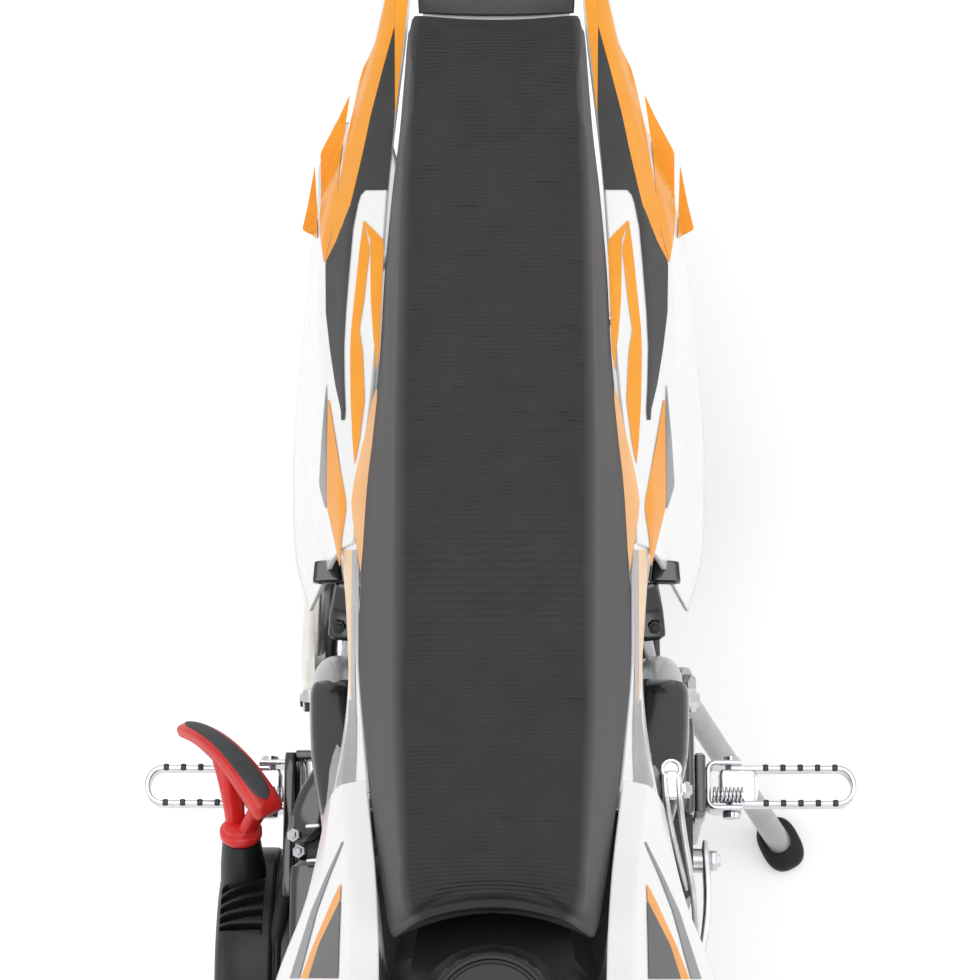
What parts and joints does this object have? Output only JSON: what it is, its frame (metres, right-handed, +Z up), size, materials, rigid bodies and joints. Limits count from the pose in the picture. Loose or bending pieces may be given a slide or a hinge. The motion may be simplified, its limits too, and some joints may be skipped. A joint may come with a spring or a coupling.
{
  "type": "small dirt bike",
  "caption": "Small off-road motorcycle with a ribbed saddle, blank number plates, recoil starter, spoked wheels and side stand, parked leaning on its stand",
  "frame": {"origin": "centre of the bounding box's footprint, on the floor that both tyres and the side stand's pad rest on", "axes": "+X runs forwards along the bike towards the front wheel, +Y to the rider's left, where the side stand and the chain are, and +Z up; the bike leans 9 degrees towards +Y"},
  "size_m": [1.346, 0.6672, 0.8645],
  "materials": {
    "frame_paint": "silver grey powder coat on steel tube",
    "arm_paint": "dark grey powder coat on the swingarm",
    "white_plastic": "glossy white moulded body panels with plain orange, charcoal and grey stripes",
    "black_plastic": "satin black moulded plastic",
    "seat_vinyl": "charcoal vinyl, finely ribbed across the top and smooth on the skirts",
    "tyre_rubber": "black rubber with knobbed tread",
    "grip_rubber": "soft black moulded rubber",
    "engine_black": "satin black paint on cast alloy",
    "alloy": "cast and brushed aluminium",
    "chrome": "bright plated steel",
    "steel": "ground steel with a light oil film",
    "rim_black": "black anodised rim and spokes",
    "red_plastic": "red moulded plastic",
    "fork_black": "black painted fork and handlebar tube",
    "exhaust_steel": "bare steel tube, browned by heat near the engine"
  },
  "bodies": {
    "frame": {"main_frame": "frame_paint", "subframe": "frame_paint", "swingarm": "arm_paint", "swingarm_bolt": "chrome", "rear_axle": "chrome", "rear_shock": "steel", "rear_caliper": "engine_black", "foot_peg_left": "chrome", "foot_peg_right": "chrome", "engine_cases": "engine_black", "recoil_starter": "black_plastic", "pull_handle": "red_plastic", "cylinder": "engine_black", "carburettor": "alloy", "air_filter": "black_plastic", "exhaust_pipe": "exhaust_steel", "silencer": "alloy", "front_sprocket": "steel", "chain": "steel", "foot_lever": "alloy", "side_panel_left": "white_plastic", "side_panel_right": "white_plastic", "shroud_left": "white_plastic", "shroud_right": "white_plastic", "seat": "seat_vinyl", "fuel_tank": "black_plastic", "fuel_cap": "black_plastic", "rear_fender": "white_plastic"},
    "steering": {"fork_tubes": "fork_black", "fork_legs": "alloy", "handlebar": "fork_black", "bar_pad": "black_plastic", "grip_left": "grip_rubber", "grip_right": "grip_rubber", "brake_lever_left": "alloy", "brake_lever_right": "alloy", "front_number_plate": "white_plastic", "front_fender": "white_plastic", "front_caliper": "engine_black"},
    "front_wheel": {"front_rim": "rim_black", "front_tyre": "tyre_rubber", "front_disc": "steel"},
    "rear_wheel": {"rear_rim": "rim_black", "rear_tyre": "tyre_rubber", "rear_disc": "steel", "rear_sprocket": "steel"},
    "side_stand": {"stand_leg": "frame_paint", "stand_pad": "grip_rubber"}
  },
  "joints": [
    {"name": "steering", "type": "hinge", "parent": "frame", "child": "steering", "pos_m": [0.44032, -0.09891, 0.17412], "axis": [-0.4067, 0.1429, 0.9023], "range_deg": [-40, 40]},
    {"name": "front_wheel_spin", "type": "hinge", "parent": "steering", "child": "front_wheel", "pos_m": [0.47229, -0.09668, 0.18818], "axis": [0, 0.9877, -0.1564], "continuous": true},
    {"name": "rear_wheel_spin", "type": "hinge", "parent": "frame", "child": "rear_wheel", "pos_m": [-0.43771, -0.09668, 0.18818], "axis": [0, 0.9877, -0.1564], "continuous": true},
    {"name": "side_stand", "type": "hinge", "parent": "frame", "child": "side_stand", "pos_m": [-0.16271, 0.02644, 0.2112], "axis": [0.1446, 0.9496, 0.2781], "range_deg": [0, 95]}
  ]
}
